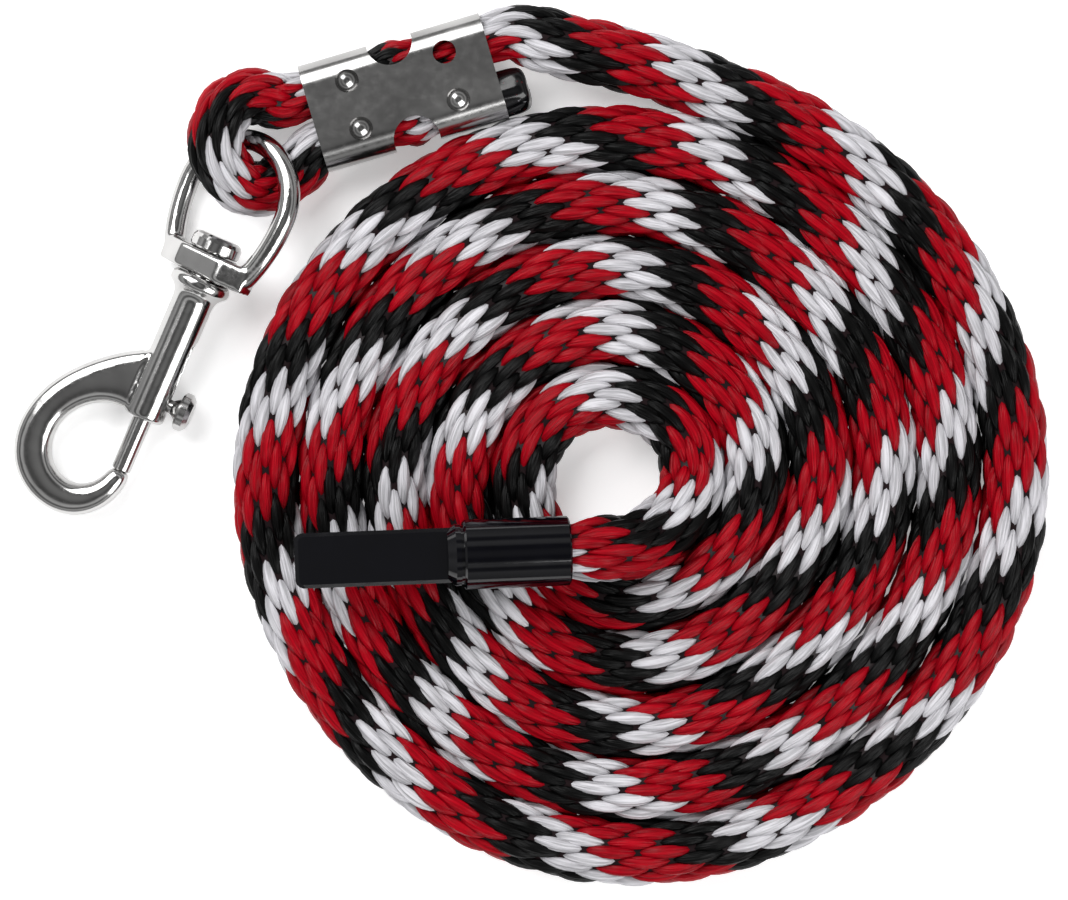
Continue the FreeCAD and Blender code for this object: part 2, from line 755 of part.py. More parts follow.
def make_swivel_pin():
    """Headed pin pressed into the barrel; its neck carries the ring."""
    body = new_body("swivel_pin", SNAP_PLACE)
    seat = dim("chamber_r")
    neck = dim("pin_neck_r")
    head = dim("pin_head_r")
    foot = dim("pin_seat_start")
    step = dim("barrel_length")
    start = dim("pin_head_start")
    end = dim("pin_head_end")
    corners = (
        (foot, 0.0), (foot, seat - 0.4), (foot + 0.4, seat), (step, seat), (step, neck),
        (start, neck), (start, head - 0.4), (start + 0.4, head), (end - 1.6, head),
        (end - 0.7, head - 0.5), (end - 0.15, head - 1.5), (end, head - 2.8), (end, 0.0),
    )
    revolve(body, "pin", corners)
    return body


def make_swivel_ring():
    """Ring that turns on the pin: flat base with a boss, and a round-topped wire."""
    body = new_body("swivel_ring", RING_PLACE)
    start = dim("ring_base_start")
    section = new_sketch(body, "base_section", "YZ_Plane", start)
    wide = dim("base_half_width")
    end = dim("base_end_half")
    boss_w = dim("boss_half_width")
    boss = dim("boss_half")
    corners = (
        (wide, -end), (wide, end), (boss_w, boss), (-boss_w, boss), (-wide, end), (-wide, -end),
        (-boss_w, -boss), (boss_w, -boss),
    )
    draw_polygon(section, corners)
    pad(body, "base", section, dim("ring_base_end") - start)
    long_edges = DIMS["base_half_width"] - DIMS["boss_half_width"] - 1.0
    low = DIMS["ring_base_start"]
    high = DIMS["ring_base_end"]

    def on_face_rim(edge):
        box = edge.BoundBox
        flat = box.XLength < 1e-6 and min(abs(box.XMin - low), abs(box.XMin - high)) < 1e-6
        return flat and edge.Length > long_edges

    round_edges(body, "base_rounding", as_size(0.8), on_face_rim)
    add_ring_wire(body)
    hole = new_sketch(body, "pin_hole_round", "YZ_Plane", start - 1.0)
    draw_circle(hole, 0.0, 0.0, dim("ring_hole_r"))
    pocket(body, "pin_hole", hole, dim("ring_base_end") - start + 2.0, upward=True)
    return body


def add_ring_wire(body):
    """Sweep the ring's round wire from one end of the base to the other."""
    top = DIMS["ring_arc_r"]
    centre_u = DIMS["ring_arc_u"]
    foot_u = DIMS["ring_foot_u"]
    foot_v = DIMS["ring_foot_v"]
    rise = centre_u - foot_u
    flare = top - foot_v
    side = (rise ** 2 + flare ** 2) / (2 * flare)
    lean = math.asin(rise / side)
    path = new_sketch(body, "wire_path", "XY_Plane")
    up = Vector(0, 0, 1)
    low_leg = Part.Circle(Vector(centre_u, side - top, 0), up, side)
    crown = Part.Circle(Vector(centre_u, 0, 0), up, top)
    high_leg = Part.Circle(Vector(centre_u, top - side, 0), up, side)
    quarter = math.pi / 2
    arcs = (
        Part.ArcOfCircle(low_leg, 3 * quarter - lean, 3 * quarter),
        Part.ArcOfCircle(crown, -quarter, quarter),
        Part.ArcOfCircle(high_leg, quarter, quarter + lean),
    )
    path.addGeometry(list(arcs), False)
    section = new_sketch(body, "wire_section", "YZ_Plane")
    foot = Vector(-foot_v, 0, foot_u)
    tilt = Rotation(Vector(0, 1, 0), -math.degrees(lean))
    section.AttachmentOffset = Placement(foot, tilt)
    draw_circle(section, 0.0, 0.0, dim("ring_wire_r"))
    wire = body.newObject("PartDesign::AdditivePipe", "wire")
    wire.Profile = section
    wire.Spine = (path, ["Edge1", "Edge2", "Edge3"])
    DOC.recompute()


# ---------------------------------------------------------------- build, check, write
def check_document():
    """Stop if any object failed or any shape is empty or broken."""
    DOC.recompute()
    for thing in DOC.Objects:
        if "Invalid" in thing.State or "Error" in thing.State:
            raise RuntimeError("%s: %s" % (thing.Label, thing.State))


def write_parts(parts):
    """Check each sub-part's shape and write it as its own STEP file."""
    os.makedirs(OUT_DIR, exist_ok=True)
    for part in parts:
        shape = part.Shape
        if shape.isNull() or not shape.isValid() or len(shape.Solids) != 1:
            raise RuntimeError("bad shape: " + part.Label)
        shape.exportStep(os.path.join(OUT_DIR, part.Label + ".step"))
        print("%-24s %9.1f mm3" % (part.Label, shape.Volume))


def main():
    """Build every sub-part in place and write the STEP files."""
    fill_sheet()
    parts = [make_coil()]
    parts += rope_stretches()
    parts.append(make_leg("rope_clamped_standing", 1))
    parts.append(make_leg("rope_clamped_tail", -1))
    parts.append(make_tail_end())
    parts.append(make_end_plug())
    parts.append(make_rope_clamp())
    parts.append(make_end_fitting())
    parts.append(make_snap_body())
    parts.append(make_snap_bolt())
    parts.append(make_thumb_knob())
    parts.append(make_bolt_spring())
    parts.append(make_swivel_pin())
    parts.append(make_swivel_ring())
    check_document()
    write_parts(parts)


main()
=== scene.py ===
"""A braided lead rope, coiled flat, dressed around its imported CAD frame. Metres, row frame."""

import json
import math
import random

import bpy
import numpy as np
from mathutils import Matrix, Vector

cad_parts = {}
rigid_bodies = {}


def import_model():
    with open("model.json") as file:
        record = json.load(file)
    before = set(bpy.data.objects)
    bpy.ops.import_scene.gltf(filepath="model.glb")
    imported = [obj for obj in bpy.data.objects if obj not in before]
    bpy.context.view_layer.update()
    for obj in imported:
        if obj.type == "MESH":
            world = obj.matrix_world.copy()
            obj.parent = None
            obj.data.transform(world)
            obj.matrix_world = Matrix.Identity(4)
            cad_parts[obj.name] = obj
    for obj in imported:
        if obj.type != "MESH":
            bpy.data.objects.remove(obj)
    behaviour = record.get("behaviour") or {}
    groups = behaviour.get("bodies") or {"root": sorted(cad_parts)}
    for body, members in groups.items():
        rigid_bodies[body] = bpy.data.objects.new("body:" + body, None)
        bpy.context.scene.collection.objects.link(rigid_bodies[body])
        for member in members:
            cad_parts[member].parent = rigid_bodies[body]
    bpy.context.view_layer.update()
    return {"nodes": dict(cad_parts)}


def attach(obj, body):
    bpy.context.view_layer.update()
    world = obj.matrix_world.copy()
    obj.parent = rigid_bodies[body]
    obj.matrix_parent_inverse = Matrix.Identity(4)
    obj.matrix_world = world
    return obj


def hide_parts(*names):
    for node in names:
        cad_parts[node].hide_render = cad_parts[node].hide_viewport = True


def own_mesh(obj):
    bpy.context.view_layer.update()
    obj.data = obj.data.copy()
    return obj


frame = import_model()
MM = 0.001

# ---------------------------------------------------------------- sizes, in mm
ROPE_R = 8.45                    # rope radius over the stitches
EYE_R = 7.3                      # the same where it is folded into the eye
CLAMPED_R = 6.3                  # and where it enters the clamp
FERRULE_R = 7.1                  # and where it enters the end fitting
TURN_SQUASH = 0.995              # neighbouring turns press each other a little narrower
FREE_WIDTH = 1.045               # and bulge where nothing presses them

COIL_CENTRE = Vector((20.4, -7.3, 8.5))
# The coil's radius, step and waves were fitted by least squares to places measured in the photo.
COIL_R0 = 100.46                 # the centre line's radius at zero degrees, without the waves
COIL_STEP = 2.52                 # radius lost per radian
# waves in that radius: how many in a turn, cosine part, sine part
COIL_WAVES = ((1, -1.81, 3.30), (2, 0.05, -0.31), (3, -0.40, -0.23))
COIL_START_DEG = 16.0
COIL_END_DEG = 1875.0
COIL_POINT_DEG = 6.0             # angle from one point of the coil to the next
# more of them, strongest at the outside and gone at the angle below
OUTER_WAVES = ((0, 0.22, 0.0), (1, 0.05, 0.25), (2, -0.48, -0.50), (3, 0.40, 0.0))
OUTER_FADE_DEG = 800.0
SQUARE_WAVE = 0.5                # the turns are a little square

CLAMP_CENTRE = Vector((-31.2, 87.3, 8.3))
CLAMP_TURN = 16.5
FITTING_FACE = Vector((10.1, -26.7, 25.6))
FITTING_YAW = 182.1
FITTING_PITCH = 5.0
IN_FITTING = 17.5                # rope inside the fitting's bore
FITTING_APPROACH = 8.0           # the rope's route runs straight this long before it

LEAD_ROUTE = ((6.5, 99.5, 8.5), (20.0, 96.7, 8.5), (34.5, 92.9, 8.5))
EYE_ROUTE = (
    (-67.4, 86.6, 10.5), (-74.1, 84.8, 13.9), (-77.7, 77.9, 16.7),
    (-77.4, 69.7, 15.8), (-70.0, 61.9, 8.3), (-58.8, 66.8, 5.9),
)
INNER_END_ROUTE = ((41.9, -10.3, 9.4), (36.2, -20.1, 14.2), (26.0, -25.9, 20.6))

RING_CENTRE = Vector((-72.877, 60.428, 10.311))     # of the ring's crown arc
RING_NORMAL = Vector((-0.46179, 0.13485, 0.87668))
RING_CROWN_R = 15.4
RING_WIRE_R = 2.75
RING_GAP = 0.25                  # the eye's yarn stays this far off the wire

TAIL_START = 22.0                # melted tail, in the clamp's frame
TAIL_END = 30.2
TAIL_SIDE = -7.3
TAIL_R = 5.6
TAIL_AREA_LOST = 0.97            # share of its section that is gone at the tip
TAIL_BLUNT = 4.2                 # the higher, the blunter the tip
TAIL_LUMP = 0.09                 # the lumps move its side by this share of its radius
TAIL_END_LUMP = 0.35             # and its end by this much
TAIL_TWIST = 3.0                 # shift in the lumps' phase along it, in radians

SNAP_MOUTH = (-96.7, 5.9, 6.15)  # middle of the barrel's mouth
SNAP_YAW = 66.4
SNAP_PITCH = 4.0
BARREL_R = 5.3
# where the hook's full rounding fades out, along the snap from the barrel's mouth
HOOK_BLEND = (-2.0, 0.5)
OFF_BARREL_BLEND = (0.2, 1.6)    # and, beside the barrel, how far off its side it fades in
BACK_BLEND = (20.0, 24.0)        # nothing beyond here along the snap rounds further
RING_SOFTNESS = 0.5
CAST_VOXEL = 0.28
SNAP_ROUNDS = 160                # rounds of smoothing on the hook
RING_ROUNDS = 26                 # and on the swivel ring
CAST_ROUNDS_ALL = 20             # and on the barrel
CAST_REGAIN = 0.3                # thickness the smoothing takes off, put back
SMOOTH_STEP = 0.5                # share of the way to its neighbours' middle, each round

FLOOR_GAP = 0.02                 # yarn flattens against the floor this far above it

# braid
WALES = 18                       # rows of stitches round the rope
STITCH_PITCH = 13.4              # along one row
ROW_SHIFT = 11.0 / WALES         # each row starts this share of a pitch further on
STITCH_LENGTH = 15.0
STITCH_HALF_WIDTH = 2.45
STITCH_THICK = 2.9
STITCH_END_DROP = 1.0            # its ends dive this much deeper
STITCH_OVERHANG = 0.4            # one may be centred this share of half its length past an end
SWELL_POWER = 0.56               # the lower, the longer a stitch keeps its width
CROWN_POWER = 2.1                # the higher, the longer it keeps its height
CREASE_SHADE_TONE = 0.25                 # painted shade: share of the dye left where a stitch dips into the creases
SHADE_SPREAD = 0.08              # no two stitches are quite alike in shade ...
LIFT_SPREAD = 0.12               # ... in height, in mm ...
TILT_SPREAD = 1.6                # ... in tilt, in degrees ...
WIDTH_SPREAD = 0.05              # ... or in width
GRAIN_SPREAD = 50                # each takes its fine lines from elsewhere in the pattern
FINE_ROWS = 5                    # rows on each side of the top that get the finer stitch
CORE_SHARE = 0.80                # radius of the core under the stitches, as a share of the rope's
CORE_RING_GAP = 5.0
COLOUR_LEAD = STITCH_PITCH / 0.3  # one colour band goes once round in this length
WHITE_SHARE = 0.30
BLACK_SHARE = 0.30
WHITE = (0.60, 0.59, 0.62)
BLACK = (0.002, 0.002, 0.002)
RED = (0.33, 0.0004, 0.007)
# near-black core colour: painted shade for the gaps and pits between stitches
CORE_PAINTED_SHADE = (0.012, 0.006, 0.007)
MAIN_COLOUR_START = 6.0
LEG_COLOUR_START = {1: 5.0, -1: 18.0}
NOTCH_BULGE = 0.22               # rope swells out of the clamp's side notches
EYE_COLOUR_START = 34.5
EYE_SCALE = 0.9                  # length of a stitch in the eye, as a share of the main rope's
LEG_SCALE = 0.8                  # and in the clamp
# distance along the rope, and how far its colour bands lag behind even ones there;
# thinned and rounded from a longer list that was measured against the photo
MAIN_SLIP = (
    (0, 0), (30, 0), (75, 4), (157, 9), (240, 22), (440, 42), (640, 56), (1000, 67),
    (1240, 85), (1400, 88), (1840, 110),
)

# along the ropes
NECK = (4.0, 20.0)               # the main rope widens between these distances from its start
FERRULE_NECK = 7.0               # and narrows over this length before the fitting
LEAD_LENGTH = 67.0               # rope before the coil
RISE_LENGTH = 50.0               # rope between the coil and the fitting
COIL_BLEND = 20.0
OUTER_FREE_LENGTH = 690.0        # the outer side bulges up to here
INNER_FREE_LENGTH = 445.0        # and the inner side over this last length
FREE_BLEND = 60.0
SIDE_EASE = (-0.1, 0.3)          # sines of the angles where a bulge begins and is full
EYE_NECK = (4.0, 12.0)           # the eye widens between these distances from both its ends
LEG_HALF = 21.0                  # half the length of a clamped leg
LEG_SIDE = 6.2                   # from the clamp's middle line to a leg's
LEG_R = 6.0
LEG_SWELL = 0.5                  # fatter by this in the middle of the clamp
LEG_SWELL_REACH = 5.0
NOTCH_REACH = 4.2
NOTCH_EASE = (0.0, 0.6)          # sines of the angles where the notch's bulge begins and is full


# ---------------------------------------------------------------- places
def axes(yaw, pitch=0.0):
    """Rotation whose local X points along yaw, tipped down by pitch."""
    turn = Matrix.Rotation(math.radians(yaw), 3, "Z")
    return turn @ Matrix.Rotation(math.radians(-pitch), 3, "Y")


def by_clamp(*places):
    """Points given in the clamp's own frame."""
    return [CLAMP_CENTRE + axes(CLAMP_TURN) @ Vector(p) for p in places]


def coil_point(degrees):
    """Point of the coil's centre line; degrees run clockwise from +Y, from the outside in."""
    angle = math.radians(degrees)
    radius = COIL_R0 - COIL_STEP * angle
    for k, cosine, sine in COIL_WAVES:
        radius += cosine * math.cos(k * angle) + sine * math.sin(k * angle)
    fade = max(0.0, 1 - degrees / OUTER_FADE_DEG)
    for k, cosine, sine in OUTER_WAVES:
        radius += fade * (cosine * math.cos(k * angle) + sine * math.sin(k * angle))
    last_turn_fade = min(1.0, (COIL_END_DEG - degrees) / 360)
    radius += SQUARE_WAVE * math.cos(4 * angle) * last_turn_fade
    return COIL_CENTRE + Vector((math.sin(angle), math.cos(angle), 0)) * radius


def main_route():
    """Clamp, lead, five turns of coil, inner end, end fitting."""
    route = by_clamp((18.5, 6.6, 0.1), (23.5, 6.9, 0.2), (31.5, 6.9, 0.2))
    route += [Vector(p) for p in LEAD_ROUTE]
    turns = int((COIL_END_DEG - COIL_START_DEG) / COIL_POINT_DEG)
    step = (COIL_END_DEG - COIL_START_DEG) / turns
    route += [coil_point(COIL_START_DEG + step * i) for i in range(turns + 1)]
    route += [Vector(p) for p in INNER_END_ROUTE]
    into = axes(FITTING_YAW, FITTING_PITCH) @ Vector((1, 0, 0))
    before = FITTING_FACE - into * FITTING_APPROACH
    return route + [before, FITTING_FACE, FITTING_FACE + into * IN_FITTING]


def eye_route():
    """Out of the clamp on the tail's side, round the ring's wire, and back in."""
    route = by_clamp((-19.0, -6.3, 0.0), (-23.5, -6.3, 0.0), (-26.8, -7.6, -0.3))
    route += [Vector(p) for p in reversed(EYE_ROUTE)]
    return route + by_clamp((-29.8, 6.3, 0.0), (-23.5, 6.3, 0.0), (-19.0, 6.3, 0.0))


def smooth_line(name, route):
    """The points of one smooth NURBS spline with the route as its control points, in mm."""
    curve = bpy.data.curves.new(name, "CURVE")
    curve.dimensions = "3D"
    spline = curve.splines.new("NURBS")
    spline.points.add(len(route) - 1)
    for point, place in zip(spline.points, route):
        point.co = (*place, 1.0)
    spline.order_u = 3
    spline.use_endpoint_u = True
    spline.resolution_u = 10
    holder = bpy.data.objects.new(name, curve)
    mesh = bpy.data.meshes.new_from_object(holder)
    line = np.array([v.co for v in mesh.vertices], float)
    steps = np.linalg.norm(np.diff(line, axis=0), axis=1)
    too_close = 0.1
    line = line[np.concatenate([[True], steps > too_close])]
    bpy.data.meshes.remove(mesh)
    bpy.data.objects.remove(holder)
    bpy.data.curves.remove(curve)
    return line


# ---------------------------------------------------------------- a rope's line
class Line:
    """A centre line with a frame that doesn't twist: places are (along, angle, radius)."""

    def __init__(self, points):
        self.points = points
        steps = np.linalg.norm(np.diff(self.points, axis=0), axis=1)
        self.along = np.concatenate([[0.0], np.cumsum(steps)])
        self.length = float(self.along[-1])
        tangents = np.gradient(self.points, self.along, axis=0)
        tangents /= np.linalg.norm(tangents, axis=1)[:, None]
        ups = np.zeros_like(tangents)
        last = np.array([0.0, 0.0, 1.0])
        for i, tangent in enumerate(tangents):
            last = last - tangent * np.dot(last, tangent)
            last /= np.linalg.norm(last)
            ups[i] = last
        self.up = ups
        self.side = np.cross(tangents, ups)

    def _read(self, table, s):
        """The table's values at those distances along."""
        return np.stack([np.interp(s, self.along, table[:, i]) for i in range(3)], axis=-1)

    def place(self, s, angle, radius, squash):
        """Points at those distances along, angles round from the up side, and radii."""
        up = self._read(self.up, s)
        side = self._read(self.side, s)
        rise = np.asarray(radius * np.cos(angle))[..., None]
        across = np.asarray(radius * np.sin(angle) * squash)[..., None]
        return self._read(self.points, s) + up * rise + side * across


def ease(value, low, high):
    """0 below low, 1 above high, smooth between."""
    t = np.clip((value - low) / (high - low), 0.0, 1.0)
    return t * t * (3 - 2 * t)


# ---------------------------------------------------------------- braid
def stitch_grid(rows, cols):
    """A closed almond: grid of (t along, x across, height), and its faces."""
    verts = [(-1.0, 0.0, 0.0)]
    for i in range(1, rows):
        t = -math.cos(math.pi * i / rows)
        even = 2.0 * i / rows - 1.0
        t = 0.55 * t + 0.45 * even       # about half way from bunched at the ends to even
        for j in range(cols + 1):
            x = 2.0 * j / cols - 1.0
            verts.append((t, math.sin(x * math.pi / 2), math.cos(x * math.pi / 2)))
    verts.append((1.0, 0.0, 0.0))
    last = len(verts) - 1
    faces = []
    width = cols + 1
    for i in range(rows - 2):
        for j in range(cols):
            a = 1 + i * width + j
            faces.append((a, a + 1, a + 1 + width, a + width))
        a = 1 + i * width
        faces.append((a, a + width, a + width + cols, a + cols))
    for j in range(cols):
        faces.append((0, 2 + j, 1 + j))
        a = 1 + (rows - 2) * width + j
        faces.append((last, a, a + 1))
    faces.append((0, 1, 1 + cols))
    a = 1 + (rows - 2) * width
    faces.append((last, a + cols, a))
    return np.array(verts), faces


FINE = stitch_grid(10, 4)
COARSE = stitch_grid(6, 2)


def colour_of(s, row, start, slip, scale):
    """Dye of the stitch centred at s on this row: one helical band of each colour."""
    slipped = np.interp(s, [knot[0] for knot in slip], [knot[1] for knot in slip])
    turn = (s - slipped - start) / (COLOUR_LEAD * scale) - row / WALES
    turn -= math.floor(turn)
    if turn < WHITE_SHARE:
        return WHITE
    if turn < WHITE_SHARE + BLACK_SHARE:
        return BLACK
    return RED


def braid(name, line, radius_at, squash_at, start, seed, slip=((0, 0),), scale=1.0, all_fine=False):
    """One mesh: a core tube, near black as painted shade in the gaps, and every stitch of the braid
    over it.
    """
    dice = random.Random(seed)
    verts = []
    faces = []
    dyes_and_shade = []
    grain = []
    offset = 0
    pitch = STITCH_PITCH * scale
    half_length = STITCH_LENGTH * scale / 2
    overhang = half_length * STITCH_OVERHANG
    for row in range(-WALES // 2, WALES // 2):
        angle = 2 * math.pi * row / WALES
        grid, plan = FINE if abs(row) <= FINE_ROWS or all_fine else COARSE
        first = int(math.floor(-(row * ROW_SHIFT) - 1))
        last = int(math.ceil(line.length / pitch - row * ROW_SHIFT + 1))
        for n in range(first, last + 1):
            centre = (n + row * ROW_SHIFT) * pitch
            if centre < -overhang or centre > line.length + overhang:
                continue
            dye = colour_of(centre, row, start, slip, scale)
            shade = 1.0 + dice.uniform(-SHADE_SPREAD, SHADE_SPREAD)
            lift = dice.uniform(-LIFT_SPREAD, LIFT_SPREAD)
            tilt = math.radians(dice.uniform(-TILT_SPREAD, TILT_SPREAD))
            fat = 1.0 + dice.uniform(-WIDTH_SPREAD, WIDTH_SPREAD)
            t = grid[:, 0]
            s = np.clip(centre + t * half_length, 0.0, line.length)
            radius = radius_at(s)
            girth = radius / ROPE_R
            swell = np.cos(t * math.pi / 2) ** SWELL_POWER
            x = grid[:, 1] * swell * STITCH_HALF_WIDTH * fat * girth
            crown = np.sqrt(np.clip(1 - np.abs(t) ** CROWN_POWER, 0, 1))
            height = grid[:, 2] * crown * STITCH_THICK * girth
            r = radius - STITCH_THICK * girth + height + lift * crown * girth
            r -= (1 - crown) * STITCH_END_DROP * girth
            turn = angle + x / radius + tilt * t
            verts.append(line.place(s, turn, r, squash_at(s, turn)))
            faces.extend(tuple(offset + k for k in f) for f in plan)
            tone = np.array(dye) * shade
            # painted shade: each stitch darkens towards its rim and ends, where it dips into the
            # creases
            crease_shade = CREASE_SHADE_TONE + (1 - CREASE_SHADE_TONE) * np.clip(grid[:, 2], 0, 1) ** 0.5 * crown ** 0.5
            dyes_and_shade.append(np.concatenate([tone[None] * crease_shade[:, None], np.ones((len(t), 1))], axis=1))
            phase = dice.random() * GRAIN_SPREAD
            grain.append(np.stack([x + phase, t * half_length + phase * 3], axis=1))
            offset += len(t)
    core_verts, core_faces = core_tube(line, radius_at, squash_at, offset)
    verts.append(core_verts)
    faces += core_faces
    # the core is coloured as painted shade
    dyes_and_shade.append(np.tile([*CORE_PAINTED_SHADE, 1.0], (len(core_verts), 1)))
    grain.append(np.zeros((len(core_verts), 2)))
    return build(name, np.concatenate(verts) * MM, faces, np.concatenate(dyes_and_shade), np.concatenate(grain))


def core_tube(line, radius_at, squash_at, offset):
    """The tube under the stitches, closed at both ends."""
    sides = 12
    rings = max(3, int(line.length / CORE_RING_GAP))
    along = np.linspace(0, line.length, rings + 1)
    s = np.repeat(along, sides)
    angle = np.tile(np.arange(sides) * 2 * math.pi / sides, rings + 1)
    verts = line.place(s, angle, radius_at(s) * CORE_SHARE, squash_at(s, angle))
    faces = []
    for i in range(rings):
        for j in range(sides):
            a = offset + i * sides + j
            b = offset + i * sides + (j + 1) % sides
            faces.append((a, b, b + sides, a + sides))
    faces.append(tuple(offset + j for j in reversed(range(sides))))
    faces.append(tuple(offset + rings * sides + j for j in range(sides)))
    return verts, faces


def build(name, verts, faces, dyes_and_shade, grain):
    """A smooth-shaded mesh object with its dye, holding any painted shade, and its yarn direction
    stored on it.
    """
    mesh = bpy.data.meshes.new(name)
    verts[:, 2] = np.maximum(verts[:, 2], FLOOR_GAP * MM)
    mesh.from_pydata(verts.tolist(), [], faces)
    mesh.update()
    # the dye attribute holds the yarn's colour together with the painted shade in the creases and on
    # the core
    dye = mesh.attributes.new("dye", "FLOAT_COLOR", "POINT")
    dye.data.foreach_set("color", dyes_and_shade.astype(np.float32).ravel())
    layer = mesh.uv_layers.new(name="yarn")
    corners = np.zeros(len(mesh.loops), np.int32)
    mesh.loops.foreach_get("vertex_index", corners)
    layer.data.foreach_set("uv", grain[corners].astype(np.float32).ravel())
    mesh.polygons.foreach_set("use_smooth", [True] * len(mesh.polygons))
    thing = bpy.data.objects.new(name, mesh)
    bpy.context.scene.collection.objects.link(thing)
    return thing


# ---------------------------------------------------------------- materials
def new_material(name):
    """A material, its node tree and its shader node."""
    material = bpy.data.materials.new(name)
    material.use_nodes = True
    tree = material.node_tree
    return material, tree, tree.nodes["Principled BSDF"]


def add(tree, kind, **inputs):
    """A node with its input values set."""
    node = tree.nodes.new(kind)
    for key, value in inputs.items():
        node.inputs[key.replace("_", " ")].default_value = value
    return node


def yarn_material():
    """Shiny filament yarn: the dye with its painted crease shade, fine lines along each stitch, a soft
    sheen.
    """
    material, tree, shader = new_material("yarn")
    link = tree.links.new
    # dye: the yarn's colour with painted shade in the creases and on the core
    dye = tree.nodes.new("ShaderNodeAttribute")
    dye.attribute_name = "dye"
    lay = tree.nodes.new("ShaderNodeUVMap")
    lay.uv_map = "yarn"
    stretch = tree.nodes.new("ShaderNodeMapping")
    stretch.inputs["Scale"].default_value = (1.7, 0.09, 1.0)
    link(lay.outputs["UV"], stretch.inputs["Vector"])
    fibre = add(tree, "ShaderNodeTexNoise", Scale=1.0, Detail=2.0, Roughness=0.5)
    link(stretch.outputs["Vector"], fibre.inputs["Vector"])
    tone = add(tree, "ShaderNodeMapRange", From_Min=0.38, From_Max=0.60, To_Min=0.70, To_Max=1.14)
    link(fibre.outputs["Fac"], tone.inputs["Value"])
    mix = tree.nodes.new("ShaderNodeVectorMath")
    mix.operation = "MULTIPLY"
    link(dye.outputs["Color"], mix.inputs[0])
    link(tone.outputs["Result"], mix.inputs[1])
    link(mix.outputs["Vector"], shader.inputs["Base Color"])
    bump = add(tree, "ShaderNodeBump", Strength=1.0, Distance=0.0007)
    link(fibre.outputs["Fac"], bump.inputs["Height"])
    link(bump.outputs["Normal"], shader.inputs["Normal"])
    rough = add(tree, "ShaderNodeMapRange", From_Min=0.3, From_Max=0.7, To_Min=0.30, To_Max=0.42)
    link(fibre.outputs["Fac"], rough.inputs["Value"])
    link(rough.outputs["Result"], shader.inputs["Roughness"])
    shader.inputs["Specular IOR Level"].default_value = 0.11
    return material


def metal(name, tint, low, high, scale, bump_mm, darkest=0.93):
    """Plated metal: cast unevenness, faint handling marks in its roughness and colour."""
    material, tree, shader = new_material(name)
    link = tree.links.new
    place = tree.nodes.new("ShaderNodeTexCoord")
    cloud = add(tree, "ShaderNodeTexNoise", Scale=scale, Detail=0.6, Roughness=0.4)
    fine = add(tree, "ShaderNodeTexNoise", Scale=scale * 6, Detail=3.0, Roughness=0.6)
    link(place.outputs["Object"], cloud.inputs["Vector"])
    link(place.outputs["Object"], fine.inputs["Vector"])
    rough = add(tree, "ShaderNodeMapRange", From_Min=0.3, From_Max=0.7, To_Min=low, To_Max=high)
    link(fine.outputs["Fac"], rough.inputs["Value"])
    link(rough.outputs["Result"], shader.inputs["Roughness"])
    tone = add(tree, "ShaderNodeMapRange", From_Min=0.3, From_Max=0.7, To_Min=darkest, To_Max=1.0)
    link(cloud.outputs["Fac"], tone.inputs["Value"])
    mix = tree.nodes.new("ShaderNodeVectorMath")
    mix.operation = "SCALE"
    mix.inputs[0].default_value = tint
    link(tone.outputs["Result"], mix.inputs["Scale"])
    link(mix.outputs["Vector"], shader.inputs["Base Color"])
    bump = add(tree, "ShaderNodeBump", Strength=0.5, Distance=bump_mm * MM)
    link(cloud.outputs["Fac"], bump.inputs["Height"])
    link(bump.outputs["Normal"], shader.inputs["Normal"])
    shader.inputs["Metallic"].default_value = 1.0
    return material


def lacquer(name, tint, low, high):
    """Gloss black coating with faint orange peel and dust-fine scuffs."""
    material, tree, shader = new_material(name)
    link = tree.links.new
    place = tree.nodes.new("ShaderNodeTexCoord")
    peel = add(tree, "ShaderNodeTexNoise", Scale=420.0, Detail=3.0)
    scuff = add(tree, "ShaderNodeTexNoise", Scale=90.0, Detail=6.0, Roughness=0.75)
    link(place.outputs["Object"], peel.inputs["Vector"])
    link(place.outputs["Object"], scuff.inputs["Vector"])
    rough = add(tree, "ShaderNodeMapRange", From_Min=0.4, From_Max=0.7, To_Min=low, To_Max=high)
    link(scuff.outputs["Fac"], rough.inputs["Value"])
    link(rough.outputs["Result"], shader.inputs["Roughness"])
    tone = add(tree, "ShaderNodeMapRange", From_Min=0.3, From_Max=0.7, To_Min=0.8, To_Max=1.25)
    link(scuff.outputs["Fac"], tone.inputs["Value"])
    mix = tree.nodes.new("ShaderNodeVectorMath")
    mix.operation = "SCALE"
    mix.inputs[0].default_value = tint
    link(tone.outputs["Result"], mix.inputs["Scale"])
    link(mix.outputs["Vector"], shader.inputs["Base Color"])
    bump = add(tree, "ShaderNodeBump", Strength=0.25, Distance=0.00005)
    link(peel.outputs["Fac"], bump.inputs["Height"])
    link(bump.outputs["Normal"], shader.inputs["Normal"])
    shader.inputs["Specular IOR Level"].default_value = 0.3
    shader.inputs["Coat Weight"].default_value = 0.25
    shader.inputs["Coat Roughness"].default_value = 0.06
    return material


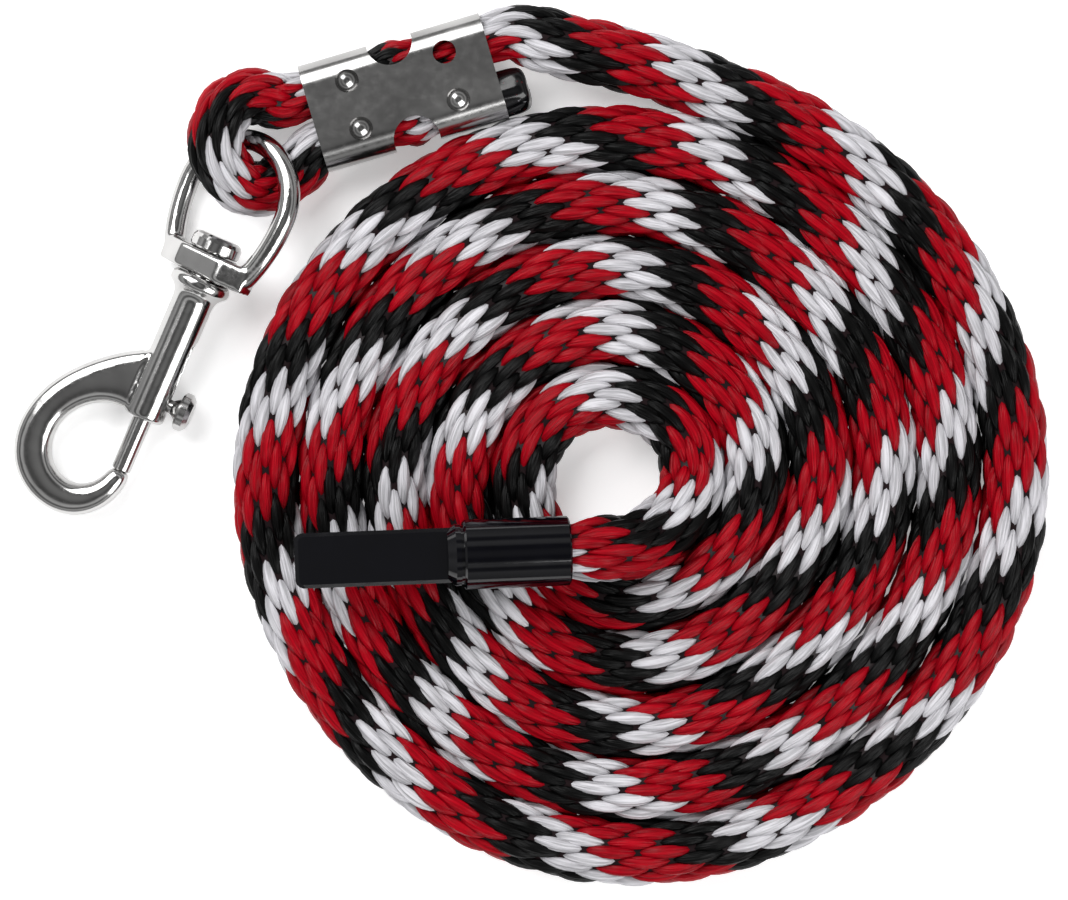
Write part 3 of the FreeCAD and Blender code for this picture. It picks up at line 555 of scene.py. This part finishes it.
def melt_material():
    """Black melted nylon with specks of the white and red yarn caught in it."""
    material = lacquer("melted_end", (0.003, 0.003, 0.0035), 0.10, 0.26)
    tree = material.node_tree
    shader = tree.nodes["Principled BSDF"]
    ground = shader.inputs["Base Color"].links[0].from_socket
    place = tree.nodes.new("ShaderNodeTexCoord")
    for seed, dye in ((0.0, RED), (3.1, WHITE)):
        shift = tree.nodes.new("ShaderNodeMapping")
        shift.inputs["Location"].default_value = (seed, seed, 0)
        speck = add(tree, "ShaderNodeTexNoise", Scale=520.0, Detail=2.0)
        level = add(tree, "ShaderNodeMapRange", From_Min=0.67, From_Max=0.75, To_Min=0.0, To_Max=0.6)
        blend = tree.nodes.new("ShaderNodeMix")
        blend.data_type = "RGBA"
        blend.inputs[7].default_value = (*dye, 1)
        tree.links.new(place.outputs["Object"], shift.inputs["Vector"])
        tree.links.new(shift.outputs["Vector"], speck.inputs["Vector"])
        tree.links.new(speck.outputs["Fac"], level.inputs["Value"])
        tree.links.new(level.outputs["Result"], blend.inputs[0])
        tree.links.new(ground, blend.inputs[6])
        ground = blend.outputs[2]
    tree.links.new(ground, shader.inputs["Base Color"])
    return material


def paint(node, material):
    """Gives a CAD node a material."""
    mesh = frame["nodes"][node].data
    mesh.materials.clear()
    mesh.materials.append(material)


# ---------------------------------------------------------------- the rope
def clear_of_ring(thing):
    """Presses the eye's yarn in where the ring's wire goes through it."""
    centre = np.array(RING_CENTRE) * MM
    normal = np.array(RING_NORMAL.normalized())
    gap = (RING_WIRE_R + RING_GAP) * MM
    mesh = thing.data
    co = np.zeros(len(mesh.vertices) * 3)
    mesh.vertices.foreach_get("co", co)
    co = co.reshape(-1, 3)
    away = co - centre
    height = away @ normal
    flat = away - height[:, None] * normal
    reach = np.linalg.norm(flat, axis=1)
    hoop = flat / reach[:, None] * RING_CROWN_R * MM + centre
    from_wire = co - hoop
    distance = np.linalg.norm(from_wire, axis=1)
    inside = distance < gap
    co[inside] = hoop[inside] + from_wire[inside] / distance[inside][:, None] * gap
    mesh.vertices.foreach_set("co", co.ravel())
    mesh.update()


def make_main_rope(yarn):
    """The rope from the clamp to the end fitting: lead, coil and inner end, one braided mesh."""
    line = Line(smooth_line("rope_line", main_route()))
    coil_end = line.length - (RISE_LENGTH + IN_FITTING)
    inner_start = line.length - INNER_FREE_LENGTH

    def radius_at(s):
        r = CLAMPED_R + (ROPE_R - CLAMPED_R) * ease(s, *NECK)
        mouth = line.length - IN_FITTING
        return r - (ROPE_R - FERRULE_R) * ease(s, mouth - FERRULE_NECK, mouth)

    def squash_at(s, angle):
        in_coil = ease(s, LEAD_LENGTH - COIL_BLEND, LEAD_LENGTH + COIL_BLEND)
        in_coil = in_coil * (1 - ease(s, coil_end, coil_end + COIL_BLEND))
        outer = 1 - ease(s, OUTER_FREE_LENGTH - FREE_BLEND, OUTER_FREE_LENGTH)
        inner = ease(s, inner_start, inner_start + FREE_BLEND)
        outwards = ease(-np.sin(angle), *SIDE_EASE) * outer
        inwards = ease(np.sin(angle), *SIDE_EASE) * inner
        free = np.maximum(outwards, inwards)
        pressed = TURN_SQUASH + (FREE_WIDTH - TURN_SQUASH) * free
        return 1 - (1 - pressed) * in_coil

    rope = braid("rope_braid", line, radius_at, squash_at, MAIN_COLOUR_START, seed=7, slip=MAIN_SLIP)
    rope.data.materials.append(yarn)
    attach(rope, "rope")
    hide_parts("rope_coil", "rope_lead", "rope_inner_end", "rope_end_plug")
    print("main rope mm", round(line.length, 1), "faces", len(rope.data.polygons))


def make_eye(yarn):
    """The rope's folded eye, which the swivel ring goes through."""
    line = Line(smooth_line("eye_line", eye_route()))

    def radius_at(s):
        near, far = EYE_NECK
        out = ease(s, near, far) * (1 - ease(s, line.length - far, line.length - near))
        return CLAMPED_R + (EYE_R - CLAMPED_R) * out

    eye = braid(
        "eye_braid", line, radius_at, lambda s, angle: 1.0, EYE_COLOUR_START, seed=11,
        scale=EYE_SCALE, all_fine=True,
    )
    clear_of_ring(eye)
    eye.data.materials.append(yarn)
    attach(eye, "rope")
    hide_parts("rope_eye")
    print("eye mm", round(line.length, 1), "faces", len(eye.data.polygons))


def make_clamped_legs(yarn):
    """The two legs of rope squeezed side by side inside the clamp."""
    for node, side in (("rope_clamped_standing", 1), ("rope_clamped_tail", -1)):
        across = side * LEG_SIDE
        ends = by_clamp((-LEG_HALF, across, 0), (0, across, 0.01), (LEG_HALF, across, 0))
        line = Line(smooth_line(node + "_line", ends))
        middle = line.length / 2

        def radius_at(s):
            return LEG_R + LEG_SWELL * np.exp(-((s - middle) / LEG_SWELL_REACH) ** 2)

        def squash_at(s, angle):
            outwards = ease(-side * np.sin(angle), *NOTCH_EASE)
            return 1 + NOTCH_BULGE * outwards * np.exp(-((s - middle) / NOTCH_REACH) ** 2)

        leg = braid(
            node + "_braid", line, radius_at, squash_at, LEG_COLOUR_START[side],
            seed=3 + side, scale=LEG_SCALE,
        )
        leg.data.materials.append(yarn)
        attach(leg, "rope")
        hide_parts(node)


def make_melted_tail(material):
    """The cut end of the tail: braid melted to a lumpy, glossy cap."""
    dice = random.Random(23)
    lumps = [(dice.uniform(0, 7), dice.randint(2, 5), dice.uniform(0.12, 0.34)) for _ in range(5)]
    rings = 22
    sides = 40
    verts = []
    for i in range(rings):
        t = i / (rings - 1)
        reached = math.sin(t * math.pi / 2) ** 0.8      # rings lie closer towards the tip
        along = TAIL_START + (TAIL_END - TAIL_START) * reached
        girth = TAIL_R * (1 - TAIL_AREA_LOST * t ** TAIL_BLUNT) ** 0.5
        for j in range(sides):
            angle = 2 * math.pi * j / sides
            bulge = sum(size * math.cos(k * angle + shift + TAIL_TWIST * t) for shift, k, size in lumps)
            reach = girth * (1 + TAIL_LUMP * bulge)
            end = along + TAIL_END_LUMP * bulge * t
            verts.append((end, TAIL_SIDE + reach * math.sin(angle), reach * math.cos(angle)))
    faces = []
    for i in range(rings - 1):
        for j in range(sides):
            a = i * sides + j
            b = i * sides + (j + 1) % sides
            faces.append((a, b, b + sides, a + sides))
    faces.append(tuple(reversed(range(sides))))
    faces.append(tuple((rings - 1) * sides + j for j in range(sides)))
    placed = np.array([tuple(p) for p in by_clamp(*verts)]) * MM
    count = len(placed)
    tail = build("tail_melt", placed, faces, np.ones((count, 4)), np.zeros((count, 2)))
    tail.data.materials.append(material)
    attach(tail, "rope")
    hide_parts("rope_tail_end")


def snap_softness(co):
    """How far each place on the snap's body may round: the hook fully, the barrel barely."""
    local = (co / MM - np.array(SNAP_MOUTH)) @ np.array(axes(SNAP_YAW, SNAP_PITCH))
    off_axis = np.linalg.norm(local[:, 1:], axis=1)
    near, far = OFF_BARREL_BLEND
    hook = 1 - ease(local[:, 0], *HOOK_BLEND)
    hook = np.maximum(hook, ease(off_axis, BARREL_R + near, BARREL_R + far))
    return hook * (1 - ease(local[:, 0], *BACK_BLEND))


def ring_softness(co):
    """The same everywhere on the swivel ring."""
    return np.full(len(co), RING_SOFTNESS)


def make_cast(node_name, softness, rounds, material):
    """A CAD node's shape with the soft edges of a casting, as a piece that replaces it."""
    node = frame["nodes"][node_name]
    cast = bpy.data.objects.new(node_name + "_cast", node.data.copy())
    cast.matrix_world = node.matrix_world.copy()
    bpy.context.scene.collection.objects.link(cast)
    remesh = cast.modifiers.new("remesh", "REMESH")
    remesh.mode = "VOXEL"
    remesh.voxel_size = CAST_VOXEL * MM
    bpy.context.view_layer.update()
    mesh = bpy.data.meshes.new_from_object(cast.evaluated_get(bpy.context.evaluated_depsgraph_get()))
    cast.modifiers.clear()
    cast.data = mesh
    co = np.zeros(len(mesh.vertices) * 3)
    mesh.vertices.foreach_get("co", co)
    co = co.reshape(-1, 3)
    ends = np.zeros(len(mesh.edges) * 2, np.int32)
    mesh.edges.foreach_get("vertices", ends)
    first, second = ends.reshape(-1, 2).T
    degree = np.bincount(ends, minlength=len(co))[:, None]
    soft = softness(co)
    for step in range(rounds):
        total = np.zeros_like(co)
        for axis in range(3):
            total[:, axis] = np.bincount(first, co[second, axis], len(co))
            total[:, axis] += np.bincount(second, co[first, axis], len(co))
        share = SMOOTH_STEP * (soft if step >= CAST_ROUNDS_ALL else np.ones_like(soft))
        co += share[:, None] * (total / degree - co)
    mesh.vertices.foreach_set("co", co.ravel())
    mesh.update()
    out = np.zeros(len(co) * 3)
    mesh.vertices.foreach_get("normal", out)
    regain = CAST_REGAIN * rounds / SNAP_ROUNDS
    co += out.reshape(-1, 3) * soft[:, None] * regain * MM
    mesh.vertices.foreach_set("co", co.ravel())
    mesh.update()
    mesh.polygons.foreach_set("use_smooth", [True] * len(mesh.polygons))
    mesh.materials.clear()
    mesh.materials.append(material)
    body = frame["nodes"][node_name].parent.name.split(":")[1]
    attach(cast, body)
    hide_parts(node_name)
    print(node_name, "cast faces", len(mesh.polygons))
    return cast


def make_spring(material):
    """The bolt's spring, as a copy of the CAD coil with its own mesh."""
    node = frame["nodes"]["bolt_spring"]
    spring = bpy.data.objects.new("bolt_spring_coil", node.data.copy())
    spring.matrix_world = node.matrix_world.copy()
    bpy.context.scene.collection.objects.link(spring)
    spring.data.materials.clear()
    spring.data.materials.append(material)
    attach(spring, "snap")
    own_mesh(spring)
    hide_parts("bolt_spring")


# ---------------------------------------------------------------- studio
# bearing, height, size and power of the studio lamps
LAMPS = ((128.0, 0.85, 0.9, 15.0), (-42.0, 0.80, 0.7, 8.5))
LAMP_REACH = 0.85                # from the middle of the floor to below each lamp
FLOOR_HALF = 1.2
FLOOR_TONE = 0.96
FLOOR_GLOW = 0.35                # keeps the floor white under the soft light
SKY_STRENGTH = 0.8
SKY_LOW = 0.3                    # brightness level with the floor
# height in the sky, 0 level and 1 straight above, and brightness there
SKY_STOPS = (
    (0.30, 0.55), (0.44, 0.65), (0.54, 0.18), (0.66, 0.15), (0.75, 0.75),
    (0.85, 0.60), (0.90, 0.12), (0.955, 0.12), (0.985, 0.26),
)
SKY_TOP = 0.32
CAMERA_PLACE = (0.0014, -0.0020, 1.0085)
CAMERA_LENS = 134.8


def make_studio():
    """A pale floor, two soft lamps and the sky."""
    mesh = bpy.data.meshes.new("floor")
    half = FLOOR_HALF
    corners = [(-half, -half, 0), (half, -half, 0), (half, half, 0), (-half, half, 0)]
    mesh.from_pydata(corners, [], [(0, 1, 2, 3)])
    floor = bpy.data.objects.new("floor", mesh)
    bpy.context.scene.collection.objects.link(floor)
    material, _, shader = new_material("floor")
    shader.inputs["Base Color"].default_value = (FLOOR_TONE, FLOOR_TONE, FLOOR_TONE, 1)
    shader.inputs["Roughness"].default_value = 0.9
    shader.inputs["Emission Color"].default_value = (1, 1, 1, 1)
    shader.inputs["Emission Strength"].default_value = FLOOR_GLOW
    mesh.materials.append(material)
    for index, (bearing, height, size, power) in enumerate(LAMPS):
        angle = math.radians(bearing)
        place = (LAMP_REACH * math.cos(angle), LAMP_REACH * math.sin(angle), height)
        add_light("lamp_%d" % index, place, (0, 0, 0), size, power)
    bpy.context.scene.world = studio_sky()
    bpy.context.scene.view_settings.view_transform = "Standard"


def studio_sky():
    """Bright and dark bands for the metal to mirror, and mid grey straight above."""
    world = bpy.data.worlds.new("studio")
    world.use_nodes = True
    tree = world.node_tree
    link = tree.links.new
    where = tree.nodes.new("ShaderNodeTexCoord")
    split = tree.nodes.new("ShaderNodeSeparateXYZ")
    ramp = tree.nodes.new("ShaderNodeValToRGB")
    link(where.outputs["Generated"], split.inputs["Vector"])
    link(split.outputs["Z"], ramp.inputs["Fac"])
    link(ramp.outputs["Color"], tree.nodes["Background"].inputs["Color"])
    stops = ramp.color_ramp.elements
    stops[0].position, stops[0].color = 0.0, (SKY_LOW, SKY_LOW, SKY_LOW, 1)
    stops[1].position, stops[1].color = 1.0, (SKY_TOP, SKY_TOP, SKY_TOP, 1)
    for place, level in SKY_STOPS:
        stop = stops.new(place)
        stop.color = (level, level, level, 1)
    tree.nodes["Background"].inputs["Strength"].default_value = SKY_STRENGTH
    return world


def add_light(name, place, target, size, power):
    """A square lamp that faces its target."""
    light = bpy.data.lights.new(name, "AREA")
    light.size = size
    light.energy = power
    lamp = bpy.data.objects.new(name, light)
    lamp.location = place
    lamp.rotation_euler = (Vector(target) - Vector(place)).to_track_quat("-Z", "Y").to_euler()
    bpy.context.scene.collection.objects.link(lamp)


def make_camera():
    """Straight above, from a metre away."""
    camera = bpy.data.cameras.new("camera")
    camera.sensor_width = 36.0
    camera.lens = CAMERA_LENS
    eye = bpy.data.objects.new("camera", camera)
    eye.location = CAMERA_PLACE
    bpy.context.scene.collection.objects.link(eye)
    bpy.context.scene.camera = eye


make_camera()
yarn = yarn_material()
make_main_rope(yarn)
make_eye(yarn)
make_clamped_legs(yarn)

snap_metal = metal("snap_metal", (0.53, 0.525, 0.52), 0.10, 0.17, 150.0, 0.10, 0.86)
make_cast("snap_body", snap_softness, SNAP_ROUNDS, snap_metal)
make_cast("swivel_ring", ring_softness, RING_ROUNDS, snap_metal)
paint("swivel_pin", snap_metal)
bolt_metal = metal("bolt_metal", (0.52, 0.515, 0.51), 0.12, 0.22, 200.0, 0.05)
for node in ("snap_bolt", "thumb_knob"):
    paint(node, bolt_metal)
make_spring(bolt_metal)
paint("rope_clamp", metal("clamp_metal", (0.40, 0.395, 0.39), 0.15, 0.24, 75.0, 0.40, 0.72))
paint("end_fitting", lacquer("fitting_black", (0.0008, 0.0008, 0.002), 0.06, 0.16))
make_melted_tail(melt_material())

make_studio()
